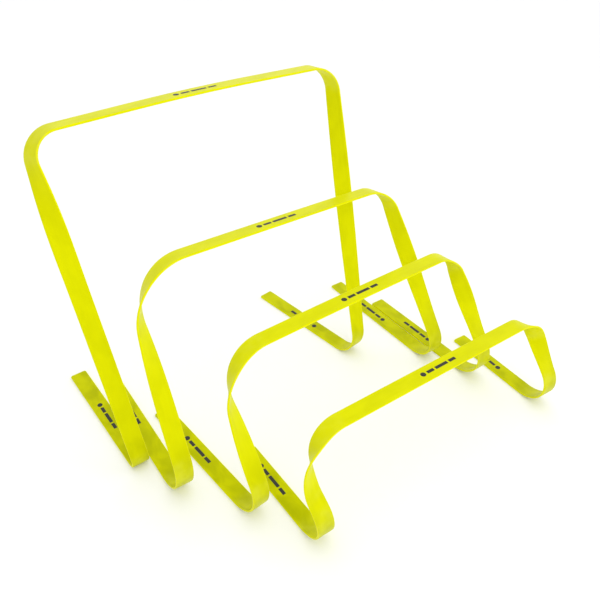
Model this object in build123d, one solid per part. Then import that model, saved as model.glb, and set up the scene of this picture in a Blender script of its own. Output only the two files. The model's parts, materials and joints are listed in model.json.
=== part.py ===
from build123d import *
import os
from dataclasses import dataclass
from itertools import accumulate
from math import ceil, cos, radians, sin, sqrt, tan

# A graduated set of four agility hurdles, nested one in front of the other.
#
# Each hurdle is one flat plastic strip. From the cut end of its left foot the strip runs forward
# along the floor, bends up into the left leg, makes a quarter turn on its way up and round the top
# corner, crosses over as the bar, and comes down the right side in the same way.
#
# Millimetres and degrees. +X is to the right, +Y runs back along the feet, +Z is up.

INCH = 25.4

# The strip that all four hurdles are bent from
STRIP_WIDTH = 26.0
STRIP_THICKNESS = 3.0
STRIP_EDGE_CHAMFER = 0.8
FOOT_CORNER_RADIUS = 3.0

# How a strip is formed
CROWN_REACH = 0.4  # the crown's arc takes up this share of each half of the bar

# How closely the sections follow a formed strip
LEG_STEP = 24.0  # between sections where the strip twists
BAR_STEP = 60.0  # between sections along the bar
ARC_STEP = 12.0  # degrees between sections in a bend or a corner

# The printed mark: a dot, then three plain dashes, counted along the strip from left to right
PRINT_THICKNESS = 0.1
DOT_DIAMETER = 8.0
DASH_WIDTH = 5.0
DASH_LENGTHS = (12.0, 22.0, 12.0)
MARK_GAP = 3.0
MARK_LENGTH = DOT_DIAMETER + sum(DASH_LENGTHS) + MARK_GAP * len(DASH_LENGTHS)

# The stretches of a strip, in order
LEFT_FOOT, LEFT_BEND, LEFT_LEG, LEFT_CORNER, LEFT_BAR, CROWN = range(6)
RIGHT_BAR, RIGHT_CORNER, RIGHT_LEG, RIGHT_BEND, RIGHT_FOOT = range(6, 11)


@dataclass
class Side:
    """One end of a strip: a foot, the bend at the floor, a leg and a top corner."""

    foot_length: float  # from the bend's point to the cut end
    toe_out: float  # degrees that the foot points away from the middle of the hurdle
    bend_radius: float
    corner_radius: float
    lean: float  # the top corner stands this far back from the bend
    mark_from_end: float  # from the foot's cut end to the printed mark
    twist_from: float  # where the quarter turn begins, as a share of the leg and corner
    twist_to: float  # and where it ends
    turned_over: bool = False  # the strip is twisted the other way, so its foot lies face down


@dataclass
class Hurdle:
    """One hurdle. Its own origin is on the floor, midway between the points of its two bends."""

    name: str
    height: float  # from the floor to the top of the bar
    foot_span: float  # between the points of the two bends
    bar_span: float  # between the points of the two top corners
    bar_shift: float  # the bar's middle lies this far to the right
    bar_drop: float  # its right end is this much lower than its left end
    crown: float  # its middle is this much higher than its ends
    bar_tilt: float  # its wide face leans back by this much
    mark_from_middle: float  # from the bar's middle to the start of its printed mark
    front_of_last: float  # how far it stands in front of the next taller hurdle
    passes_last_on: str  # the side where its foot runs back to the right of that hurdle's bend
    gap_to_last: float  # and the gap between the two strips there
    left: Side
    right: Side


HURDLES = [
    Hurdle(
        name="hurdle_18in",
        height=18 * INCH,
        foot_span=400.0,
        bar_span=447.5,
        bar_shift=12.0,
        bar_drop=4.5,
        crown=5.7,
        bar_tilt=4.0,
        mark_from_middle=-30.0,
        front_of_last=0.0,
        passes_last_on="",
        gap_to_last=0.0,
        left=Side(
            foot_length=243.5,
            toe_out=0.5,
            bend_radius=17.0,
            corner_radius=36.0,
            lean=152.0,
            mark_from_end=85.0,
            twist_from=0.53,
            twist_to=1.05,
            turned_over=True,
        ),
        right=Side(
            foot_length=246.0,
            toe_out=-7.2,
            bend_radius=35.0,
            corner_radius=35.0,
            lean=151.0,
            mark_from_end=74.0,
            twist_from=-0.12,
            twist_to=1.2,
        ),
    ),
    Hurdle(
        name="hurdle_12in",
        height=12 * INCH,
        foot_span=471.0,
        bar_span=410.0,
        bar_shift=-18.0,
        bar_drop=9.5,
        crown=0.5,
        bar_tilt=7.0,
        mark_from_middle=-18.0,
        front_of_last=108.0,
        passes_last_on="left",
        gap_to_last=2.95,
        left=Side(
            foot_length=294.0,
            toe_out=-2.1,
            bend_radius=51.5,
            corner_radius=77.0,
            lean=142.5,
            mark_from_end=40.0,
            twist_from=0.12,
            twist_to=1.06,
        ),
        right=Side(
            foot_length=297.5,
            toe_out=0.5,
            bend_radius=48.5,
            corner_radius=42.0,
            lean=138.5,
            mark_from_end=77.0,
            twist_from=0.03,
            twist_to=1.06,
        ),
    ),
    Hurdle(
        name="hurdle_9in",
        height=9 * INCH,
        foot_span=432.0,
        bar_span=401.0,
        bar_shift=-23.0,
        bar_drop=1.5,
        crown=1.8,
        bar_tilt=3.0,
        mark_from_middle=-4.5,
        front_of_last=87.5,
        passes_last_on="right",
        gap_to_last=2.3,
        left=Side(
            foot_length=284.0,
            toe_out=4.2,
            bend_radius=49.0,
            corner_radius=67.0,
            lean=111.0,
            mark_from_end=69.0,
            twist_from=0.02,
            twist_to=1.01,
        ),
        right=Side(
            foot_length=296.5,
            toe_out=0.2,
            bend_radius=58.0,
            corner_radius=34.5,
            lean=115.0,
            mark_from_end=76.0,
            twist_from=0.08,
            twist_to=0.96,
        ),
    ),
    Hurdle(
        name="hurdle_6in",
        height=6 * INCH,
        foot_span=425.0,
        bar_span=426.5,
        bar_shift=-15.0,
        bar_drop=2.5,
        crown=0.7,
        bar_tilt=2.0,
        mark_from_middle=-5.0,
        front_of_last=96.5,
        passes_last_on="right",
        gap_to_last=15.5,
        left=Side(
            foot_length=237.0,
            toe_out=-0.5,
            bend_radius=49.5,
            corner_radius=65.5,
            lean=101.0,
            mark_from_end=33.0,
            twist_from=-0.15,
            twist_to=1.09,
        ),
        right=Side(
            foot_length=230.0,
            toe_out=3.3,
            bend_radius=47.0,
            corner_radius=34.5,
            lean=92.0,
            mark_from_end=33.0,
            twist_from=-0.02,
            twist_to=1.18,
        ),
    ),
]


def strip_section():
    """The strip's cross-section: a flat bar with its four long edges broken."""
    return chamfer(Rectangle(STRIP_WIDTH, STRIP_THICKNESS).vertices(), STRIP_EDGE_CHAMFER)


def ease(share):
    """0 below 0, 1 above 1, and a smooth step between."""
    share = min(max(share, 0.0), 1.0)
    return share * share * (3 - 2 * share)


def foot_direction(side, hand):
    """From the bend to the foot's cut end. hand is -1 on the left and +1 on the right."""
    turn = radians(side.toe_out)
    return Vector(hand * sin(turn), cos(turn), 0)


class Strip:
    """The middle line of one hurdle's strip, and how its wide face turns along it."""

    def __init__(self, hurdle):
        self.hurdle = hurdle
        left, right = hurdle.left, hurdle.right
        half_bar = hurdle.bar_span / 2
        crown_radius = CROWN_REACH * half_bar**2 / hurdle.crown
        slope_length = sqrt(half_bar**2 + hurdle.crown**2)
        point_over_arc = crown_radius * (slope_length / half_bar - 1)
        floor = STRIP_THICKNESS / 2
        top = hurdle.height - STRIP_THICKNESS / 2 + point_over_arc
        ends = top - hurdle.crown

        left_bend = Vector(-hurdle.foot_span / 2, 0, floor)
        right_bend = Vector(hurdle.foot_span / 2, 0, floor)
        points = [
            left_bend + foot_direction(left, -1) * left.foot_length,
            left_bend,
            Vector(hurdle.bar_shift - half_bar, left.lean, ends + hurdle.bar_drop / 2),
            Vector(hurdle.bar_shift, (left.lean + right.lean) / 2, top),
            Vector(hurdle.bar_shift + half_bar, right.lean, ends - hurdle.bar_drop / 2),
            right_bend,
            right_bend + foot_direction(right, 1) * right.foot_length,
        ]
        radii = [
            left.bend_radius,
            left.corner_radius,
            crown_radius,
            right.corner_radius,
            right.bend_radius,
        ]
        self.line = FilletPolyline(*points, radius=radii)
        lengths = [edge.length for edge in self.line.order_edges()]
        self.starts = list(accumulate(lengths, initial=0.0))
        self.radii = {
            LEFT_BEND: left.bend_radius,
            LEFT_CORNER: left.corner_radius,
            RIGHT_CORNER: right.corner_radius,
            RIGHT_BEND: right.bend_radius,
        }

    def middle_of_bar(self):
        return (self.starts[CROWN] + self.starts[RIGHT_BAR]) / 2

    def across(self, along):
        """The direction of the strip's width, before it is squared to the middle line."""
        starts = self.starts
        if along < self.middle_of_bar():
            side = self.hurdle.left
            climb = (along - starts[LEFT_LEG]) / (starts[LEFT_BAR] - starts[LEFT_LEG])
            foot_heading = side.toe_out + (180 if side.turned_over else 0)
        else:
            side = self.hurdle.right
            climb = (starts[RIGHT_BEND] - along) / (starts[RIGHT_BEND] - starts[RIGHT_CORNER])
            foot_heading = -side.toe_out + (0 if side.turned_over else 180)
        twist = ease((climb - side.twist_from) / (side.twist_to - side.twist_from))
        heading = radians(foot_heading + (90 - foot_heading) * twist)
        tilt = radians(self.hurdle.bar_tilt) * ease(climb)
        return Vector(cos(heading), sin(heading) * cos(tilt), -sin(heading) * sin(tilt))

    def plane(self, along):
        """A plane across the strip: x along its width, y through its thickness, z forward."""
        forward = self.line.tangent_at(along, position_mode=PositionMode.LENGTH)
        across = self.across(along)
        across = across - forward * across.dot(forward)
        point = self.line.position_at(along, position_mode=PositionMode.LENGTH)
        return Plane(origin=point, x_dir=across, z_dir=forward)

    def step(self, stretch):
        """The distance between sections in a stretch of the strip."""
        if stretch in self.radii:
            return self.radii[stretch] * radians(ARC_STEP)
        return LEG_STEP if stretch in (LEFT_LEG, RIGHT_LEG) else BAR_STEP

    def stretch_solid(self, stretch):
        """One formed stretch of the strip, through evenly spaced sections."""
        start, end = self.starts[stretch], self.starts[stretch + 1]
        count = max(2, ceil((end - start) / self.step(stretch)))
        places = [start + (end - start) * n / count for n in range(count + 1)]
        return loft([self.plane(place) * strip_section() for place in places])

    def arch(self):
        """The legs, the top corners and the bar, as one solid."""
        stretches = [self.stretch_solid(stretch) for stretch in range(LEFT_LEG, RIGHT_BEND)]
        return stretches[0].fuse(*stretches[1:])

    def foot(self, stretch):
        """A straight foot, flat on the floor, with the corners of its cut end rounded."""
        start, end = self.starts[stretch], self.starts[stretch + 1]
        if stretch == LEFT_FOOT:
            bend_end, hand, side = end, -1, self.hurdle.left
        else:
            bend_end, hand, side = start, 1, self.hurdle.right
        plan = Rectangle(STRIP_WIDTH, end - start, align=(Align.CENTER, Align.MIN))
        plan = fillet(plan.vertices().sort_by(Axis.Y)[-2:], FOOT_CORNER_RADIUS)
        section = Plane.XZ * Pos(0, STRIP_THICKNESS / 2) * strip_section()
        shape = extrude(plan, STRIP_THICKNESS) & extrude(section, start - end)
        point = self.line.position_at(bend_end, position_mode=PositionMode.LENGTH)
        away = foot_direction(side, hand)
        place = Plane(
            origin=(point.X, point.Y, 0), x_dir=(away.Y, -away.X, 0), z_dir=(0, 0, 1)
        )
        return place * shape

    def mark(self, start, face_up=True):
        """A printed mark on the strip's upper face, as a group of thin solids."""
        upward = 1 if face_up else -1
        shapes = [Circle(DOT_DIAMETER / 2)]
        shapes += [Rectangle(length, DASH_WIDTH) for length in DASH_LENGTHS]
        lengths = [DOT_DIAMETER, *DASH_LENGTHS]
        prints = []
        place = start
        for shape, length in zip(shapes, lengths):
            across = self.plane(place + length / 2)
            face = Plane(
                origin=across.origin + across.y_dir * (upward * STRIP_THICKNESS / 2),
                x_dir=across.z_dir,
                z_dir=across.y_dir * upward,
            )
            prints.append(face * extrude(shape, PRINT_THICKNESS))
            place += length + MARK_GAP
        return Compound(prints)

    def bend_centre(self):
        """The middle of mass of the two bends' arcs, which the legs turn about as they flex."""
        middles = []
        for bend in (LEFT_BEND, RIGHT_BEND):
            start, end = self.starts[bend], self.starts[bend + 1]
            count = 40
            for n in range(count):
                along = start + (end - start) * (n + 0.5) / count
                middles.append(self.line.position_at(along, position_mode=PositionMode.LENGTH))
        return sum(middles, Vector()) * (1 / len(middles))


def hurdle_nodes(hurdle):
    """Every piece of one hurdle, in the hurdle's own frame."""
    strip = Strip(hurdle)
    starts = strip.starts
    left, right = hurdle.left, hurdle.right
    foot_end = starts[RIGHT_FOOT + 1]
    nodes = {
        "left_foot": strip.foot(LEFT_FOOT),
        "left_bend": strip.stretch_solid(LEFT_BEND),
        "arch": strip.arch(),
        "right_bend": strip.stretch_solid(RIGHT_BEND),
        "right_foot": strip.foot(RIGHT_FOOT),
        "left_foot_mark": strip.mark(left.mark_from_end, not left.turned_over),
        "bar_mark": strip.mark(strip.middle_of_bar() + hurdle.mark_from_middle),
        "right_foot_mark": strip.mark(foot_end - right.mark_from_end - MARK_LENGTH),
    }
    return nodes, strip.bend_centre()


def right_of_last(hurdle, last):
    """How far a hurdle stands to the right of the next taller one, with its gap kept."""
    if hurdle.passes_last_on == "left":
        hand, side, last_side = -1, hurdle.left, last.left
    else:
        hand, side, last_side = 1, hurdle.right, last.right
    half_widths = [STRIP_WIDTH / 2 / cos(radians(foot.toe_out)) for foot in (side, last_side)]
    between_middles = sum(half_widths) + hurdle.gap_to_last
    drift = hand * tan(radians(side.toe_out)) * hurdle.front_of_last
    return hand * (last.foot_span - hurdle.foot_span) / 2 + between_middles - drift


def build_set():
    """All four hurdles in their nest, with the origin under the middle of the whole set."""
    nodes = {}
    hinges = {}
    right = front = 0.0
    last = None
    for hurdle in HURDLES:
        if last:
            right += right_of_last(hurdle, last)
            front += hurdle.front_of_last
        last = hurdle
        pieces, hinge = hurdle_nodes(hurdle)
        place = Pos(right, -front, 0)
        for piece, shape in pieces.items():
            nodes[f"{hurdle.name}_{piece}"] = place * shape
        hinges[hurdle.name] = hinge + Vector(right, -front, 0) - Vector(hinge.X, 0, 0)
    box = Compound(list(nodes.values())).bounding_box()
    middle = Vector(box.center().X, box.center().Y, 0)
    nodes = {name: Pos(-middle.X, -middle.Y, 0) * shape for name, shape in nodes.items()}
    hinges = {name: point - middle for name, point in hinges.items()}
    return nodes, hinges


os.makedirs("parts", exist_ok=True)
parts, hinge_points = build_set()
for name, shape in parts.items():
    export_step(shape, f"parts/{name}.step")
for name, point in hinge_points.items():
    print(f"{name} flexes about X at {point.X:.3f}, {point.Y:.3f}, {point.Z:.3f}")
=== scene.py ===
"""A nested set of four agility hurdles, each bent from one flat strip of bright flexible plastic."""

import json
import math
from dataclasses import dataclass

import bpy
import numpy as np
from mathutils import Matrix, Vector


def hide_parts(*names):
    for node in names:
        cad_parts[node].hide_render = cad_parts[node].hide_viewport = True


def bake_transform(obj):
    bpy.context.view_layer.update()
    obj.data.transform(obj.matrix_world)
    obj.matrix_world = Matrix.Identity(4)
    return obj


bl_info = {
    "name": "Agility Hurdle Set",
    "version": (1, 0, 0),
    "blender": (4, 5, 0),
    "location": "View3D > Sidebar > Hurdles",
    "description": "Builds the finished strips, the inked marks and the studio of a nested hurdle set",
    "category": "Object",
}

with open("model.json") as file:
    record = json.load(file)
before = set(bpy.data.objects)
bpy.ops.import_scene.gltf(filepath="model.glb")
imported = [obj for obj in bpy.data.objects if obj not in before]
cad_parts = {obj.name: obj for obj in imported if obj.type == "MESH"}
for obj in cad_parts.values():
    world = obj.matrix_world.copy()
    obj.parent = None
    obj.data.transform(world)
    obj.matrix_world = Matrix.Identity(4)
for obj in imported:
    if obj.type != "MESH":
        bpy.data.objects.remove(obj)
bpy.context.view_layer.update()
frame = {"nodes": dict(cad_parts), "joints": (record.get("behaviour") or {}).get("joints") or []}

MM = 0.001
INCH = 25.4  # in millimetres, as the hurdles' sizes are

# The stretches of a strip, in order from the cut end of its left foot
STRETCHES = (
    "left_foot",
    "left_bend",
    "left_leg",
    "left_corner",
    "left_bar",
    "crown",
    "right_bar",
    "right_corner",
    "right_leg",
    "right_bend",
    "right_foot",
)
# These hardly bend or twist, so the rings of the mesh stand further apart on them
GENTLE_STRETCHES = ("left_foot", "left_bar", "crown", "right_bar", "right_foot")

STRIP_NODES = ("left_foot", "left_bend", "arch", "right_bend", "right_foot")
MARK_NODES = ("left_foot_mark", "bar_mark", "right_foot_mark")

CROWN_REACH = 0.4  # the share of each half of the bar that the crown's arc takes up
FLEX_SAMPLES = 40  # points along each floor bend, whose mean the legs turn about

# Where the plastic's colour changes, and where the painted shade and the painted glow fall
TIGHT_RADIUS = 36 * MM  # a bend of this radius or less is fully whitened
BEND_FADE = 6 * MM  # how far a bend's whitening runs on either side of the bend's ends
FOOT_FADE = 60 * MM  # how far up the leg the painted shade of the feet reaches
END_PAINTED_GLOW = 1.2 * MM  # how far the painted edge glow reaches in from a cut end

# The rings of the strip's mesh
QUARTER_TURN = 90  # degrees
EDGE_STEP = 18  # degrees between the points round a long edge
MOST_ROUNDING = 0.9  # of half the thickness, which leaves a narrow flat on each edge
EDGE_LOOP = 0.5 * MM  # from the rounding to the first point on the wide face
CORNER_STEP = 9  # degrees between the rings round a foot's corner
CUT_RINGS = (0.1, 0.35, 0.7, 1.0)  # shares of the cut edge's radius that get a ring
GENTLE_SPACING = 2.2  # ring spacing on the gentle stretches, in ordinary spacings
END_MARGIN = 1.05  # corner radii at each cut end that have only the corner's own rings
PLACE_DECIMALS = 7  # rings that agree to this many decimals of a metre are one ring

# The stage
PALEST_FLOOR = 1.015  # the floor's palest patches, against its plain colour
SENSOR_WIDTH = 36.0  # of the camera, in millimetres
NEAREST_SEEN = 10 * MM  # the camera shows nothing nearer than this


@dataclass
class Side:
    """One end of a strip, in millimetres and degrees: a foot, its bend, a leg and a top corner."""

    foot_length: float
    toe_out: float
    bend_radius: float
    corner_radius: float
    lean: float
    twist_from: float
    twist_to: float
    turned_over: bool = False


@dataclass
class Hurdle:
    """One hurdle, in millimetres, about a point on the floor midway between its two bends."""

    name: str
    height: float
    foot_span: float
    bar_span: float
    bar_shift: float
    bar_drop: float
    crown: float
    bar_tilt: float
    left: Side
    right: Side


# The same sizes as the CAD strips are made with
HURDLES = (
    Hurdle(
        name="hurdle_18in",
        height=18 * INCH,
        foot_span=400.0,
        bar_span=447.5,
        bar_shift=12.0,
        bar_drop=4.5,
        crown=5.7,
        bar_tilt=4.0,
        left=Side(
            foot_length=243.5,
            toe_out=0.5,
            bend_radius=17.0,
            corner_radius=36.0,
            lean=152.0,
            twist_from=0.53,
            twist_to=1.05,
            turned_over=True,
        ),
        right=Side(
            foot_length=246.0,
            toe_out=-7.2,
            bend_radius=35.0,
            corner_radius=35.0,
            lean=151.0,
            twist_from=-0.12,
            twist_to=1.2,
        ),
    ),
    Hurdle(
        name="hurdle_12in",
        height=12 * INCH,
        foot_span=471.0,
        bar_span=410.0,
        bar_shift=-18.0,
        bar_drop=9.5,
        crown=0.5,
        bar_tilt=7.0,
        left=Side(
            foot_length=294.0,
            toe_out=-2.1,
            bend_radius=51.5,
            corner_radius=77.0,
            lean=142.5,
            twist_from=0.12,
            twist_to=1.06,
        ),
        right=Side(
            foot_length=297.5,
            toe_out=0.5,
            bend_radius=48.5,
            corner_radius=42.0,
            lean=138.5,
            twist_from=0.03,
            twist_to=1.06,
        ),
    ),
    Hurdle(
        name="hurdle_9in",
        height=9 * INCH,
        foot_span=432.0,
        bar_span=401.0,
        bar_shift=-23.0,
        bar_drop=1.5,
        crown=1.8,
        bar_tilt=3.0,
        left=Side(
            foot_length=284.0,
            toe_out=4.2,
            bend_radius=49.0,
            corner_radius=67.0,
            lean=111.0,
            twist_from=0.02,
            twist_to=1.01,
        ),
        right=Side(
            foot_length=296.5,
            toe_out=0.2,
            bend_radius=58.0,
            corner_radius=34.5,
            lean=115.0,
            twist_from=0.08,
            twist_to=0.96,
        ),
    ),
    Hurdle(
        name="hurdle_6in",
        height=6 * INCH,
        foot_span=425.0,
        bar_span=426.5,
        bar_shift=-15.0,
        bar_drop=2.5,
        crown=0.7,
        bar_tilt=2.0,
        left=Side(
            foot_length=237.0,
            toe_out=-0.5,
            bend_radius=49.5,
            corner_radius=65.5,
            lean=101.0,
            twist_from=-0.15,
            twist_to=1.09,
        ),
        right=Side(
            foot_length=230.0,
            toe_out=3.3,
            bend_radius=47.0,
            corner_radius=34.5,
            lean=92.0,
            twist_from=-0.02,
            twist_to=1.18,
        ),
    ),
)


class StripSettings(bpy.types.PropertyGroup):
    """Sizes and finish of the plastic strip."""

    width: bpy.props.FloatProperty(
        name="Width",
        description="Width of the flat strip",
        default=0.026,
        unit="LENGTH",
    )
    thickness: bpy.props.FloatProperty(
        name="Thickness",
        description="Thickness of the flat strip",
        default=0.003,
        unit="LENGTH",
    )
    edge_radius: bpy.props.FloatProperty(
        name="Edge radius",
        description="Rounding of the strip's long edges",
        default=0.00135,
        unit="LENGTH",
    )
    cut_radius: bpy.props.FloatProperty(
        name="Cut edge radius",
        description="Small break on the edges of the cut ends",
        default=0.0004,
        unit="LENGTH",
    )
    corner_radius: bpy.props.FloatProperty(
        name="Foot corner radius",
        description="Rounding of the two corners of each cut end, seen from above",
        default=0.003,
        unit="LENGTH",
    )
    step: bpy.props.FloatProperty(
        name="Ring spacing",
        description="Distance between the rings of the strip's mesh where it bends or twists",
        default=0.0035,
        unit="LENGTH",
    )
    bright: bpy.props.FloatVectorProperty(
        name="Bright colour",
        description="Fluorescent yellow of the legs and the bars",
        default=(0.71, 0.72, 0.0),
        size=3,
        min=0.0,
        max=1.0,
        subtype="COLOR",
    )
    # The feet and the lowest part of each leg take this colour as painted shade; the mottling and the
    # drawn lines take it as the plastic's own uneven tone.
    deep_and_foot_shade: bpy.props.FloatVectorProperty(
        name="Deep colour",
        description="Greener yellow of the soft mottling and of the feet",
        default=(0.405, 0.435, 0.0),
        size=3,
        min=0.0,
        max=1.0,
        subtype="COLOR",
    )
    # Painted glow and highlight: a brighter, more saturated yellow put into the colour of the rounded
    # edges and the cut ends.
    painted_edge_glow: bpy.props.FloatVectorProperty(
        name="Edge colour",
        description="Saturated yellow that fluorescent plastic shows at its edges",
        default=(0.80, 0.80, 0.0),
        size=3,
        min=0.0,
        max=1.0,
        subtype="COLOR",
    )
    # Paler colour, mixed into the fine grain, the scuffs and the paler patches on the bends and top
    # corners.
    chalk: bpy.props.FloatVectorProperty(
        name="Stress whitening",
        description="Pale bloom where the plastic is bent tight or scuffed",
        default=(0.72, 0.74, 0.1),
        size=3,
        min=0.0,
        max=1.0,
        subtype="COLOR",
    )


class MarkSettings(bpy.types.PropertyGroup):
    """Finish of the printed marks."""

    ink: bpy.props.FloatVectorProperty(
        name="Ink colour",
        description="Black printing ink",
        default=(0.009, 0.010, 0.006),
        size=3,
        min=0.0,
        max=1.0,
        subtype="COLOR",
    )
    worn_ink: bpy.props.FloatVectorProperty(
        name="Worn ink colour",
        description="Thinner ink that lets a little of the plastic through",
        default=(0.055, 0.065, 0.008),
        size=3,
        min=0.0,
        max=1.0,
        subtype="COLOR",
    )


class StageSettings(bpy.types.PropertyGroup):
    """Floor, lights and camera."""

    floor_colour: bpy.props.FloatVectorProperty(
        name="Floor colour",
        description="Pale studio floor",
        default=(0.97, 0.97, 0.97),
        size=3,
        min=0.0,
        max=1.0,
        subtype="COLOR",
    )
    floor_size: bpy.props.FloatProperty(
        name="Floor size",
        description="Length of each side of the square floor",
        default=18.0,
        unit="LENGTH",
    )
    room_strength: bpy.props.FloatProperty(
        name="Room light",
        description="Strength of the even light from all around",
        default=1.02,
        min=0.0,
    )
    room_slope: bpy.props.FloatVectorProperty(
        name="Room light slope",
        description="How much stronger the room light is towards each axis, right and back being plus",
        default=(0.3, -0.04, 0.0),
        size=3,
    )
    key_power: bpy.props.FloatProperty(
        name="Key light",
        description="Power of the large soft light in front",
        default=5.0,
        min=0.0,
        subtype="POWER",
    )
    top_power: bpy.props.FloatProperty(
        name="Top light",
        description="Power of the soft light overhead",
        default=3.0,
        min=0.0,
        subtype="POWER",
    )
    azimuth: bpy.props.FloatProperty(
        name="Camera azimuth",
        description="Turn of the camera round the set, from straight in front",
        default=math.radians(-36.264),
        subtype="ANGLE",
    )
    elevation: bpy.props.FloatProperty(
        name="Camera elevation",
        description="Height of the camera above the horizon",
        default=math.radians(37.457),
        subtype="ANGLE",
    )
    roll: bpy.props.FloatProperty(
        name="Camera roll",
        description="Turn of the camera about its own line of sight",
        default=math.radians(0.165),
        subtype="ANGLE",
    )
    distance: bpy.props.FloatProperty(
        name="Camera distance",
        description="From the camera to the point it looks at",
        default=1.0153,
        unit="LENGTH",
    )
    aim: bpy.props.FloatVectorProperty(
        name="Camera aim",
        description="Point the camera looks at, from the tallest hurdle's origin on the floor",
        default=(0.09699, 0.03398, 0.150),
        size=3,
        subtype="TRANSLATION",
        unit="LENGTH",
    )
    lens: bpy.props.FloatProperty(
        name="Focal length",
        description="Focal length on a 36 mm wide sensor, in millimetres",
        default=40.03,
    )


# The middle line of a strip


def foot_direction(side, hand):
    """From the bend to the foot's cut end. hand is -1 on the left and +1 on the right."""
    turn = math.radians(side.toe_out)
    return np.array((hand * math.sin(turn), math.cos(turn), 0.0))


def unit(vectors):
    return vectors / np.linalg.norm(vectors, axis=-1, keepdims=True)


def ease(share):
    """0 below 0, 1 above 1, and a smooth step between."""
    share = np.clip(share, 0.0, 1.0)
    return share * share * (3 - 2 * share)


def formed_points(hurdle, thickness):
    """The corner points of a strip's middle line, and the radius at each inner one."""
    left, right = hurdle.left, hurdle.right
    half_bar = hurdle.bar_span / 2
    crown_radius = CROWN_REACH * half_bar**2 / hurdle.crown
    point_over_arc = crown_radius * (math.hypot(half_bar, hurdle.crown) / half_bar - 1)
    floor = thickness / 2
    top = hurdle.height - thickness / 2 + point_over_arc
    ends = top - hurdle.crown
    left_bend = np.array((-hurdle.foot_span / 2, 0.0, floor))
    right_bend = np.array((hurdle.foot_span / 2, 0.0, floor))
    shift, drop = hurdle.bar_shift, hurdle.bar_drop / 2
    points = [
        left_bend + foot_direction(left, -1) * left.foot_length,
        left_bend,
        np.array((shift - half_bar, left.lean, ends + drop)),
        np.array((shift, (left.lean + right.lean) / 2, top)),
        np.array((shift + half_bar, right.lean, ends - drop)),
        right_bend,
        right_bend + foot_direction(right, 1) * right.foot_length,
    ]
    radii = [
        left.bend_radius,
        left.corner_radius,
        crown_radius,
        right.corner_radius,
        right.bend_radius,
    ]
    return points, radii


@dataclass
class Straight:
    """A straight run of the middle line."""

    start: np.ndarray
    heading: np.ndarray
    length: float

    def at(self, past):
        """Places and tangents at these distances past the start of the run."""
        return self.start + np.outer(past, self.heading), np.tile(self.heading, (len(past), 1))


@dataclass
class Arc:
    """A round bend of the middle line, which starts on the outward side of its centre."""

    centre: np.ndarray
    outward: np.ndarray
    heading: np.ndarray
    radius: float
    length: float

    def at(self, past):
        """Places and tangents at these distances past the start of the arc."""
        cosine, sine = np.cos(past / self.radius), np.sin(past / self.radius)
        spoke = np.outer(cosine, self.outward) + np.outer(sine, self.heading)
        tangents = np.outer(-sine, self.outward) + np.outer(cosine, self.heading)
        return self.centre + self.radius * spoke, tangents


class MiddleLine:
    """Straight runs joined by arcs, measured along from the cut end of the left foot."""

    def __init__(self, points, radii):
        self.runs = []
        start = points[0]
        for before, corner, after, radius in zip(points, points[1:], points[2:], radii):
            arriving, leaving = unit(corner - before), unit(after - corner)
            turn = math.acos(float(np.clip(arriving @ leaving, -1, 1)))
            cut = radius * math.tan(turn / 2)
            arc_start = corner - arriving * cut
            self.runs.append(Straight(start, arriving, float(np.linalg.norm(arc_start - start))))
            inward = unit(leaving - arriving * (leaving @ arriving))
            centre = arc_start + inward * radius
            self.runs.append(Arc(centre, -inward, arriving, radius, radius * turn))
            start = corner + leaving * cut
        last_length = float(np.linalg.norm(points[-1] - start))
        self.runs.append(Straight(start, unit(points[-1] - start), last_length))
        self.starts = np.concatenate(([0.0], np.cumsum([run.length for run in self.runs])))

    def at(self, along):
        """Places and unit tangents at these distances along the line."""
        along = np.asarray(along, float)
        index = np.searchsorted(self.starts, along, side="right") - 1
        index = np.clip(index, 0, len(self.runs) - 1)
        places, tangents = np.empty((len(along), 3)), np.empty((len(along), 3))
        for n, run in enumerate(self.runs):
            here = index == n
            places[here], tangents[here] = run.at(along[here] - self.starts[n])
        return places, tangents


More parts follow.
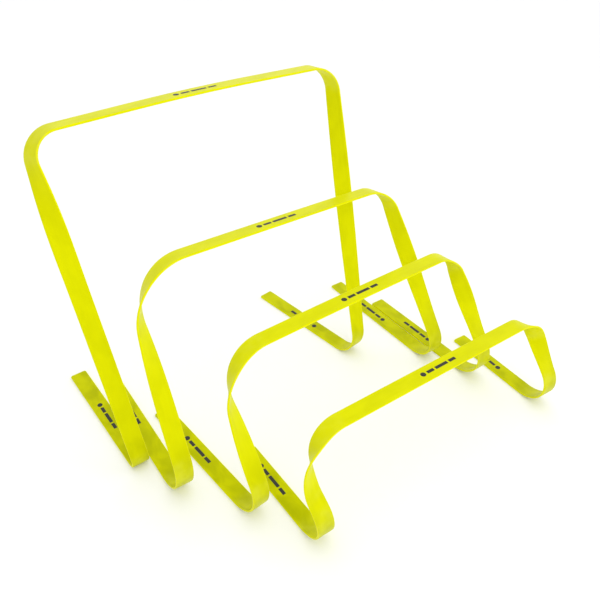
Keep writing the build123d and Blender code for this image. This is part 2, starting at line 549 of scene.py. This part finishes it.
class Strip:
    """The middle line of one hurdle's strip in metres, and how its wide face turns along it."""

    def __init__(self, hurdle, thickness):
        self.hurdle = hurdle
        points, radii = formed_points(hurdle, thickness / MM)
        self.line = MiddleLine([point * MM for point in points], [radius * MM for radius in radii])
        self.start_of = dict(zip(STRETCHES, self.line.starts))
        self.length = float(self.line.starts[-1])
        self.crown_middle = (self.start_of["crown"] + self.start_of["right_bar"]) / 2

    def directions(self, along):
        """Places, directions across the width and directions through the thickness."""
        places, tangents = self.line.at(along)
        start_of, left, right = self.start_of, self.hurdle.left, self.hurdle.right
        on_left = along < self.crown_middle
        climb = np.where(
            on_left,
            (along - start_of["left_leg"]) / (start_of["left_bar"] - start_of["left_leg"]),
            (start_of["right_bend"] - along) / (start_of["right_bend"] - start_of["right_corner"]),
        )
        left_heading = left.toe_out + (180 if left.turned_over else 0)
        right_heading = -right.toe_out + (0 if right.turned_over else 180)
        foot_heading = np.where(on_left, left_heading, right_heading)
        begins = np.where(on_left, left.twist_from, right.twist_from)
        finishes = np.where(on_left, left.twist_to, right.twist_to)
        twist = ease((climb - begins) / (finishes - begins))
        heading = np.radians(foot_heading + (90 - foot_heading) * twist)
        tilt = math.radians(self.hurdle.bar_tilt) * ease(climb)
        across = np.stack(
            (np.cos(heading), np.sin(heading) * np.cos(tilt), -np.sin(heading) * np.sin(tilt)), 1
        )
        across = unit(across - tangents * np.sum(across * tangents, 1)[:, None])
        return places, across, np.cross(tangents, across)

    def flex_centre(self):
        """The middle of the two floor bends, which the legs turn about."""
        shares = (np.arange(FLEX_SAMPLES) + 0.5) / FLEX_SAMPLES
        middles = []
        for bend, after in (("left_bend", "left_leg"), ("right_bend", "right_foot")):
            first, last = self.start_of[bend], self.start_of[after]
            middles.append(self.line.at(first + (last - first) * shares)[0])
        return np.concatenate(middles).mean(0)

    def bend_tops(self):
        """How high the two floor bends reach."""
        return self.line.at((self.start_of["left_leg"], self.start_of["right_bend"]))[0][:, 2]

    def bend_share(self, along):
        """1 in a tight bend or top corner, less in an easier one, and 0 on straight runs."""
        share = np.zeros(len(along))
        for run, first, last in zip(self.line.runs, self.line.starts, self.line.starts[1:]):
            if isinstance(run, Arc):
                begun = ease((along - first + BEND_FADE) / (2 * BEND_FADE))
                unfinished = ease((last + BEND_FADE - along) / (2 * BEND_FADE))
                tightness = min(1.0, TIGHT_RADIUS / run.radius)
                share = np.maximum(share, begun * unfinished * tightness)
        return share

    def foot_share(self, along):
        """1 on the feet, fading to 0 up the first part of each leg. It masks the painted shade on the
        feet and their extra wear.
        """
        start_of = self.start_of
        left_fade = start_of["left_leg"] - start_of["left_bend"] + FOOT_FADE
        right_fade = start_of["right_foot"] - start_of["right_bend"] + FOOT_FADE
        left = 1 - ease((along - start_of["left_bend"]) / left_fade)
        right = 1 - ease((start_of["right_foot"] - along) / right_fade)
        return np.maximum(left, right)


def flex_joint(hurdle):
    """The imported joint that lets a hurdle's arch flex over its feet."""
    found = [joint for joint in frame["joints"] if joint["name"] == hurdle.name + "_flex"]
    if not found:
        raise RuntimeError(f"the packed record has no flex joint for {hurdle.name}")
    return found[0]


def hurdle_origin(hurdle, strip):
    """Where the hurdle's own origin stands in the frame, from its flex joint."""
    place = np.array(flex_joint(hurdle)["pos_m"], float)
    centre = strip.flex_centre()
    return np.array((place[0], place[1] - centre[1], 0.0))


# The mesh of a strip


def ring_outline(half_width, half_thickness, radius):
    """One closed ring round the strip's section: across, through, and how far round the edge."""
    radius = min(radius, MOST_ROUNDING * half_thickness)
    flat_width, flat_side = half_width - radius, half_thickness - radius
    near_edge = flat_width - EDGE_LOOP
    ring = []
    for quarter, (sign_x, sign_y) in enumerate(((1, 1), (-1, 1), (-1, -1), (1, -1))):
        for degrees in range(0, QUARTER_TURN + 1, EDGE_STEP):
            turn = math.radians(QUARTER_TURN * quarter + degrees)
            x = sign_x * flat_width + radius * math.cos(turn)
            y = sign_y * flat_side + radius * math.sin(turn)
            ring.append((x, y, abs(math.cos(turn))))
        if sign_x == sign_y:
            for place in (near_edge, flat_width / 2, 0.0, -flat_width / 2, -near_edge):
                ring.append((sign_x * place, sign_y * half_thickness, 0.0))
    return np.array(ring)


def ring_places(strip, settings):
    """Distances along the strip for its rings, close together where it turns or is rounded off."""
    corner, cut = settings.corner_radius, settings.cut_radius
    turns = range(0, QUARTER_TURN + 1, CORNER_STEP)
    from_end = [corner * (1 - math.sin(math.radians(turn))) for turn in turns]
    from_end += [cut * share for share in CUT_RINGS]
    from_end = np.unique(np.round(from_end, PLACE_DECIMALS))
    end_places = np.concatenate((from_end, strip.length - from_end))
    places = list(end_places)
    starts = strip.line.starts
    for stretch, first, last in zip(STRETCHES, starts, starts[1:]):
        spacing = settings.step * (GENTLE_SPACING if stretch in GENTLE_STRETCHES else 1.0)
        count = max(2, math.ceil((last - first) / spacing))
        places += list(first + (last - first) * np.arange(count + 1) / count)
    places = np.unique(np.round(places, PLACE_DECIMALS))
    margin = corner * END_MARGIN
    at_end = np.isin(places, np.round(end_places, PLACE_DECIMALS))
    inner = (places > margin) & (places < strip.length - margin)
    return np.clip(places[at_end | inner], 0.0, strip.length)


def end_drawn_in(distance, radius):
    """How far a rounded corner is drawn in at this distance from the cut end."""
    return radius - math.sqrt(max(radius**2 - max(radius - distance, 0.0) ** 2, 0.0))


def closed_tube(rings, around):
    """The faces of a tube of this many rings, each with this many points, closed at both ends."""
    faces = []
    for ring in range(rings - 1):
        first, second = ring * around, (ring + 1) * around
        for n in range(around):
            after = (n + 1) % around
            faces.append((first + n, first + after, second + after, second + n))
    last = (rings - 1) * around
    return faces + [tuple(reversed(range(around))), tuple(range(last, last + around))]


def strip_mesh(hurdle, strip, settings):
    """The whole strip as one closed mesh, with its own coordinates and zones stored on it."""
    along = ring_places(strip, settings)
    places, across, through = strip.directions(along)
    origin = hurdle_origin(hurdle, strip)
    on_foot, in_bend = strip.foot_share(along), strip.bend_share(along)
    vertices, coordinates, zones = [], [], []
    for n, here in enumerate(along):
        from_end = min(here, strip.length - here)
        half_width = settings.width / 2 - end_drawn_in(from_end, settings.corner_radius)
        half_thickness = settings.thickness / 2 - end_drawn_in(from_end, settings.cut_radius)
        ring = ring_outline(half_width, half_thickness, settings.edge_radius)
        points = places[n] + np.outer(ring[:, 0], across[n]) + np.outer(ring[:, 1], through[n])
        vertices.append(points + origin)
        all_round = np.ones(len(ring))
        coordinates.append(np.column_stack((here * all_round, ring[:, 0], ring[:, 1])))
        # The edge zone carries the painted edge glow and the edge wear, the foot zone the painted
        # shade and the foot wear, and the bend zone the paler bend patches.
        edge = np.maximum(ring[:, 2], 1 - ease(from_end / END_PAINTED_GLOW))
        zones.append(np.column_stack((edge, on_foot[n] * all_round, in_bend[n] * all_round)))
    mesh = bpy.data.meshes.new(hurdle.name + "_strip")
    faces = closed_tube(len(along), len(vertices[0]))
    mesh.from_pydata(np.concatenate(vertices).tolist(), [], faces)
    mesh.update()
    store_vectors(mesh, "strip_place", np.concatenate(coordinates))
    store_vectors(mesh, "strip_zone", np.concatenate(zones))
    mesh.shade_smooth()
    return mesh


def store_vectors(mesh, name, values):
    attribute = mesh.attributes.new(name, "FLOAT_VECTOR", "POINT")
    attribute.data.foreach_set("vector", values.astype(np.float32).ravel())


# Materials

COLUMN_WIDTH = 220  # between the nodes in the shader editor


class Shader:
    """A material's node tree under construction, laid out from right to left."""

    def __init__(self, name):
        self.material = bpy.data.materials.new(name)
        self.material.use_nodes = True
        self.tree = self.material.node_tree
        self.tree.nodes.clear()
        self.column = 0
        output = self.add("ShaderNodeOutputMaterial")
        self.surface = self.add("ShaderNodeBsdfPrincipled")
        self.join(self.surface.outputs["BSDF"], output.inputs["Surface"])

    def add(self, kind, **values):
        node = self.tree.nodes.new(kind)
        node.location = (-COLUMN_WIDTH * self.column, 0)
        self.column += 1
        for key, value in values.items():
            setattr(node, key, value)
        return node

    def join(self, source, target):
        self.tree.links.new(source, target)

    def feed(self, socket, value):
        """Links a socket to another node's output, or sets it to a plain value."""
        if isinstance(value, bpy.types.NodeSocket):
            self.join(value, socket)
        else:
            socket.default_value = value

    def attribute(self, name):
        return self.add("ShaderNodeAttribute", attribute_name=name).outputs["Vector"]

    def parts(self, vector):
        node = self.add("ShaderNodeSeparateXYZ")
        self.join(vector, node.inputs[0])
        return node.outputs

    def maths(self, operation, first, second, clamp=False):
        node = self.add("ShaderNodeMath", operation=operation, use_clamp=clamp)
        self.feed(node.inputs[0], first)
        self.feed(node.inputs[1], second)
        return node.outputs[0]

    def scaled(self, vector, factors):
        node = self.add("ShaderNodeVectorMath", operation="MULTIPLY")
        self.join(vector, node.inputs[0])
        node.inputs[1].default_value = factors
        return node.outputs[0]

    def noise(self, vector, scale, detail, roughness, distortion=0.0):
        node = self.add("ShaderNodeTexNoise")
        self.join(vector, node.inputs["Vector"])
        node.inputs["Scale"].default_value = scale
        node.inputs["Detail"].default_value = detail
        node.inputs["Roughness"].default_value = roughness
        node.inputs["Distortion"].default_value = distortion
        return node.outputs["Fac"]

    def between(self, value, low, high, to_low=0.0, to_high=1.0):
        """value from low to high becomes to_low to to_high, held at both ends."""
        node = self.add("ShaderNodeMapRange", interpolation_type="SMOOTHSTEP")
        for place, number in enumerate((value, low, high, to_low, to_high)):
            self.feed(node.inputs[place], number)
        return node.outputs[0]

    def blend(self, share, first, second):
        """A colour between two others."""
        node = self.add("ShaderNodeMix", data_type="RGBA")
        self.feed(node.inputs["Factor"], share)
        near, far = [socket for socket in node.inputs if socket.type == "RGBA"]
        self.feed(near, colour_value(first))
        self.feed(far, colour_value(second))
        return [socket for socket in node.outputs if socket.type == "RGBA"][0]

    def bump(self, height, distance, strength, under=None):
        node = self.add("ShaderNodeBump")
        node.inputs["Strength"].default_value = strength
        node.inputs["Distance"].default_value = distance
        self.join(height, node.inputs["Height"])
        if under is not None:
            self.join(under, node.inputs["Normal"])
        return node.outputs["Normal"]


def colour_value(colour):
    """A colour's four numbers, or the socket that gives it."""
    return colour if isinstance(colour, bpy.types.NodeSocket) else (*colour[:3], 1.0)


def strip_plastic(settings):
    """Satin fluorescent plastic: soft mottling, faint drawn lines, scuffs and pale tight bends, with
    painted shade on the feet and a painted glow along the edges.
    """
    shader = Shader("strip_plastic")
    place = shader.attribute("strip_place")  # along, across and through, in metres
    edge, foot, bend = shader.parts(shader.attribute("strip_zone"))
    shortened = shader.scaled(place, (1.0, 1.6, 1.0))
    widened = shader.scaled(place, (1.0, 0.55, 1.0))
    lengthened = shader.scaled(place, (0.06, 1.0, 1.0))
    drawn_out = shader.scaled(place, (0.012, 1.0, 1.0))

    # Soft patches, fine grain, lines from drawing the strip, shallow waves, scratches, worn places
    clouds = shader.noise(shortened, scale=26.0, detail=2.0, roughness=0.5, distortion=0.4)
    grain = shader.noise(place, scale=2600.0, detail=2.0, roughness=0.6)
    drawn_lines = shader.noise(drawn_out, scale=1500.0, detail=3.0, roughness=0.65)
    ripples = shader.noise(widened, scale=48.0, detail=1.0, roughness=0.4)
    scratches = shader.noise(lengthened, scale=900.0, detail=4.0, roughness=0.7, distortion=1.2)
    patches = shader.noise(place, scale=70.0, detail=2.0, roughness=0.5)

    mottling = shader.maths("MULTIPLY", shader.between(clouds, 0.35, 0.7), 0.16)
    # Painted shade: the feet and the lowest part of each leg are darkened towards the deep colour, in
    # soft clouds.
    foot_shade_clouds = shader.between(clouds, 0.3, 0.7, to_low=0.38, to_high=0.72)
    painted_foot_shade = shader.maths("MULTIPLY", foot, foot_shade_clouds)
    mottling_and_foot_shade = shader.maths("ADD", mottling, painted_foot_shade, clamp=True)
    body = shader.blend(mottling_and_foot_shade, settings.bright, settings.deep_and_foot_shade)
    line_share = shader.between(drawn_lines, 0.4, 0.75, to_high=0.07)
    body = shader.blend(line_share, body, settings.deep_and_foot_shade)
    grain_share = shader.between(grain, 0.45, 0.8, to_high=0.08)
    body = shader.blend(grain_share, body, settings.chalk)
    # Painted glow: the rounded edges and the cut ends get a brighter, more saturated colour.
    edge_glow_share = shader.maths("MULTIPLY", shader.between(edge, 0.1, 0.8), 0.75)
    body = shader.blend(edge_glow_share, body, settings.painted_edge_glow)

    scratch_lines = shader.between(scratches, 0.63, 0.74)
    worn_patches = shader.between(patches, 0.5, 0.66)
    edge_wear = shader.between(edge, 0.2, 0.9, to_low=0.12, to_high=0.45)
    wear = shader.maths("ADD", edge_wear, shader.maths("MULTIPLY", foot, 0.3))
    scuffed = shader.maths("MULTIPLY", scratch_lines, worn_patches)
    scuffed = shader.maths("MULTIPLY", scuffed, wear, clamp=True)
    # Paler patches on the bends and top corners. The tighter the bend, the paler the patch.
    pale_patches = shader.between(patches, 0.35, 0.75, to_low=0.05, to_high=0.3)
    whitening = shader.maths("MULTIPLY", bend, pale_patches)
    pale = shader.maths("MAXIMUM", scuffed, whitening)
    body = shader.blend(pale, body, settings.chalk)
    shader.join(body, shader.surface.inputs["Base Color"])

    rough = shader.between(drawn_lines, 0.3, 0.8, to_low=0.3, to_high=0.4)
    rough = shader.maths("ADD", rough, shader.maths("MULTIPLY", pale, 0.3))
    grain_roughness = shader.between(grain, 0.3, 0.8, to_low=-0.02, to_high=0.05)
    rough = shader.maths("ADD", rough, grain_roughness)
    shader.join(rough, shader.surface.inputs["Roughness"])
    shader.surface.inputs["IOR"].default_value = 1.4
    shader.surface.inputs["Specular IOR Level"].default_value = 0.12
    shader.surface.inputs["Specular Tint"].default_value = (1.0, 1.0, 0.03, 1.0)

    relief = shader.bump(ripples, distance=0.0012, strength=0.25)
    relief = shader.bump(drawn_lines, distance=0.00005, strength=0.35, under=relief)
    relief = shader.bump(grain, distance=0.00004, strength=0.3, under=relief)
    shader.join(relief, shader.surface.inputs["Normal"])
    return shader.material


def print_ink(settings):
    """Black printing ink, slightly uneven and finely rough, with specks where it is thinner."""
    shader = Shader("print_ink")
    place = shader.add("ShaderNodeTexCoord").outputs["Object"]
    uneven = shader.noise(place, scale=900.0, detail=3.0, roughness=0.6)
    specks = shader.noise(place, scale=4200.0, detail=2.0, roughness=0.6)
    thin = shader.between(uneven, 0.5, 0.72, to_high=0.35)
    missing = shader.between(specks, 0.6, 0.7, to_high=0.6)
    worn = shader.maths("MAXIMUM", thin, missing)
    colour = shader.blend(worn, settings.ink, settings.worn_ink)
    shader.join(colour, shader.surface.inputs["Base Color"])
    rough = shader.between(uneven, 0.3, 0.7, to_low=0.42, to_high=0.56)
    shader.join(rough, shader.surface.inputs["Roughness"])
    relief = shader.bump(specks, distance=0.00004, strength=0.4)
    shader.join(relief, shader.surface.inputs["Normal"])
    return shader.material


def floor_paint(settings):
    """Matt pale studio floor with hardly any texture."""
    shader = Shader("studio_floor")
    place = shader.add("ShaderNodeTexCoord").outputs["Object"]
    tone = shader.noise(place, scale=6.0, detail=2.0, roughness=0.5)
    paler = tuple(min(1.0, channel * PALEST_FLOOR) for channel in settings.floor_colour)
    colour = shader.blend(tone, settings.floor_colour, paler)
    shader.join(colour, shader.surface.inputs["Base Color"])
    shader.surface.inputs["Roughness"].default_value = 0.85
    shader.surface.inputs["Specular IOR Level"].default_value = 0.1
    return shader.material


# Pieces


def add_object(name, data):
    piece = bpy.data.objects.new(name, data)
    bpy.context.scene.collection.objects.link(piece)
    return piece


class HURDLES_OT_strips(bpy.types.Operator):
    """Build each hurdle's strip as one piece, curved up where its legs leave the floor"""

    bl_idname = "hurdles.strips"
    bl_label = "Build the strips"

    def execute(self, context):
        settings = context.scene.hurdle_strips
        plastic = strip_plastic(settings)
        for hurdle in HURDLES:
            strip = Strip(hurdle, settings.thickness)
            piece = add_object(hurdle.name + "_strip", strip_mesh(hurdle, strip, settings))
            piece.data.materials.append(plastic)
            hinge = Vector(flex_joint(hurdle)["pos_m"])
            end = Vector((hinge.x, hinge.y, float(strip.bend_tops().mean())))
            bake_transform(piece)
            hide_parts(*[f"{hurdle.name}_{node}" for node in STRIP_NODES])
        return {"FINISHED"}


class HURDLES_OT_marks(bpy.types.Operator):
    """Ink the printed marks on the feet and the bars"""

    bl_idname = "hurdles.marks"
    bl_label = "Ink the marks"

    def execute(self, context):
        ink = print_ink(context.scene.hurdle_marks)
        for hurdle in HURDLES:
            for node in MARK_NODES:
                mark = frame["nodes"][f"{hurdle.name}_{node}"]
                mark.data.materials.clear()
                mark.data.materials.append(ink)
        return {"FINISHED"}


# Stage


def away_from(azimuth, elevation):
    """The direction from a target towards these two angles. Azimuth 0 is straight in front."""
    level = math.cos(elevation)
    return Vector((math.sin(azimuth) * level, -math.cos(azimuth) * level, math.sin(elevation)))


def area_light(name, target, azimuth, elevation, distance, size, power):
    """A square soft light that faces a point, from an azimuth and elevation in degrees."""
    light = bpy.data.lights.new(name, "AREA")
    light.shape = "SQUARE"
    light.size = size
    light.energy = power
    away = away_from(math.radians(azimuth), math.radians(elevation))
    lamp = add_object(name, light)
    lamp.location = target + away * distance
    lamp.rotation_mode = "QUATERNION"
    lamp.rotation_quaternion = away.to_track_quat("Z", "Y")


def studio_light(strength, slope):
    """Even light from all around, stronger towards the side that the slope points to."""
    world = bpy.data.worlds.new("studio")
    world.use_nodes = True
    nodes, links = world.node_tree.nodes, world.node_tree.links
    direction = nodes.new("ShaderNodeTexCoord").outputs["Generated"]
    side = nodes.new("ShaderNodeVectorMath")
    side.operation = "DOT_PRODUCT"
    side.inputs[1].default_value = slope
    level = nodes.new("ShaderNodeMath")
    level.operation = "ADD"
    level.inputs[1].default_value = strength
    background = nodes["Background"]
    background.inputs["Color"].default_value = (1.0, 1.0, 1.0, 1.0)
    links.new(direction, side.inputs[0])
    links.new(side.outputs["Value"], level.inputs[0])
    links.new(level.outputs[0], background.inputs["Strength"])
    return world


def lay_floor(settings):
    """One square sheet under the hurdles."""
    half = settings.floor_size / 2
    corners = [(-half, -half, 0), (half, -half, 0), (half, half, 0), (-half, half, 0)]
    sheet = bpy.data.meshes.new("studio_floor")
    sheet.from_pydata(corners, [], [(0, 1, 2, 3)])
    floor = add_object("studio_floor", sheet)
    floor.data.materials.append(floor_paint(settings))


def add_camera(settings, target):
    """A camera that looks at the target from the settings' angles and distance."""
    away = away_from(settings.azimuth, settings.elevation)
    camera = add_object("camera", bpy.data.cameras.new("camera"))
    camera.data.sensor_width = SENSOR_WIDTH
    camera.data.lens = settings.lens
    camera.data.clip_start = NEAREST_SEEN
    camera.location = target + away * settings.distance
    facing = away.to_track_quat("Z", "Y").to_matrix().to_4x4()
    roll = Matrix.Rotation(settings.roll, 4, "Z")
    camera.rotation_mode = "QUATERNION"
    camera.rotation_quaternion = (facing @ roll).to_quaternion()
    return camera


class HURDLES_OT_stage(bpy.types.Operator):
    """Lay the floor and set up the soft lights and the camera"""

    bl_idname = "hurdles.stage"
    bl_label = "Set the stage"

    def execute(self, context):
        scene, settings = context.scene, context.scene.hurdle_stage
        scene.view_settings.view_transform = "Standard"
        scene.view_settings.look = "None"
        lay_floor(settings)
        scene.world = studio_light(settings.room_strength, settings.room_slope)

        tallest = HURDLES[0]
        strip = Strip(tallest, scene.hurdle_strips.thickness)
        target = Vector(hurdle_origin(tallest, strip)) + Vector(settings.aim)
        area_light(
            "key_light",
            target,
            azimuth=-8.0,
            elevation=38.0,
            distance=2.2,
            size=1.1,
            power=settings.key_power,
        )
        area_light(
            "top_light",
            target,
            azimuth=20.0,
            elevation=76.0,
            distance=2.0,
            size=1.6,
            power=settings.top_power,
        )
        scene.camera = add_camera(settings, target)
        return {"FINISHED"}


OPERATORS = (HURDLES_OT_strips, HURDLES_OT_marks, HURDLES_OT_stage)
GROUPS = (
    ("hurdle_strips", StripSettings),
    ("hurdle_marks", MarkSettings),
    ("hurdle_stage", StageSettings),
)


class HURDLES_PT_panel(bpy.types.Panel):
    """Sizes, colours and building steps of the hurdle set"""

    bl_idname = "HURDLES_PT_panel"
    bl_label = "Agility hurdle set"
    bl_space_type = "VIEW_3D"
    bl_region_type = "UI"
    bl_category = "Hurdles"

    def draw(self, context):
        for group, settings_class in GROUPS:
            box = self.layout.box()
            for name in settings_class.__annotations__:
                box.prop(getattr(context.scene, group), name)
        for operator in OPERATORS:
            self.layout.operator(operator.bl_idname)


def register():
    for group, settings_class in GROUPS:
        bpy.utils.register_class(settings_class)
        setattr(bpy.types.Scene, group, bpy.props.PointerProperty(type=settings_class))
    for item in (*OPERATORS, HURDLES_PT_panel):
        bpy.utils.register_class(item)


def unregister():
    for item in (HURDLES_PT_panel, *reversed(OPERATORS)):
        bpy.utils.unregister_class(item)
    for group, settings_class in reversed(GROUPS):
        delattr(bpy.types.Scene, group)
        bpy.utils.unregister_class(settings_class)


def main():
    register()
    bpy.ops.hurdles.strips()
    bpy.ops.hurdles.marks()
    bpy.ops.hurdles.stage()


if __name__ == "__main__":
    main()
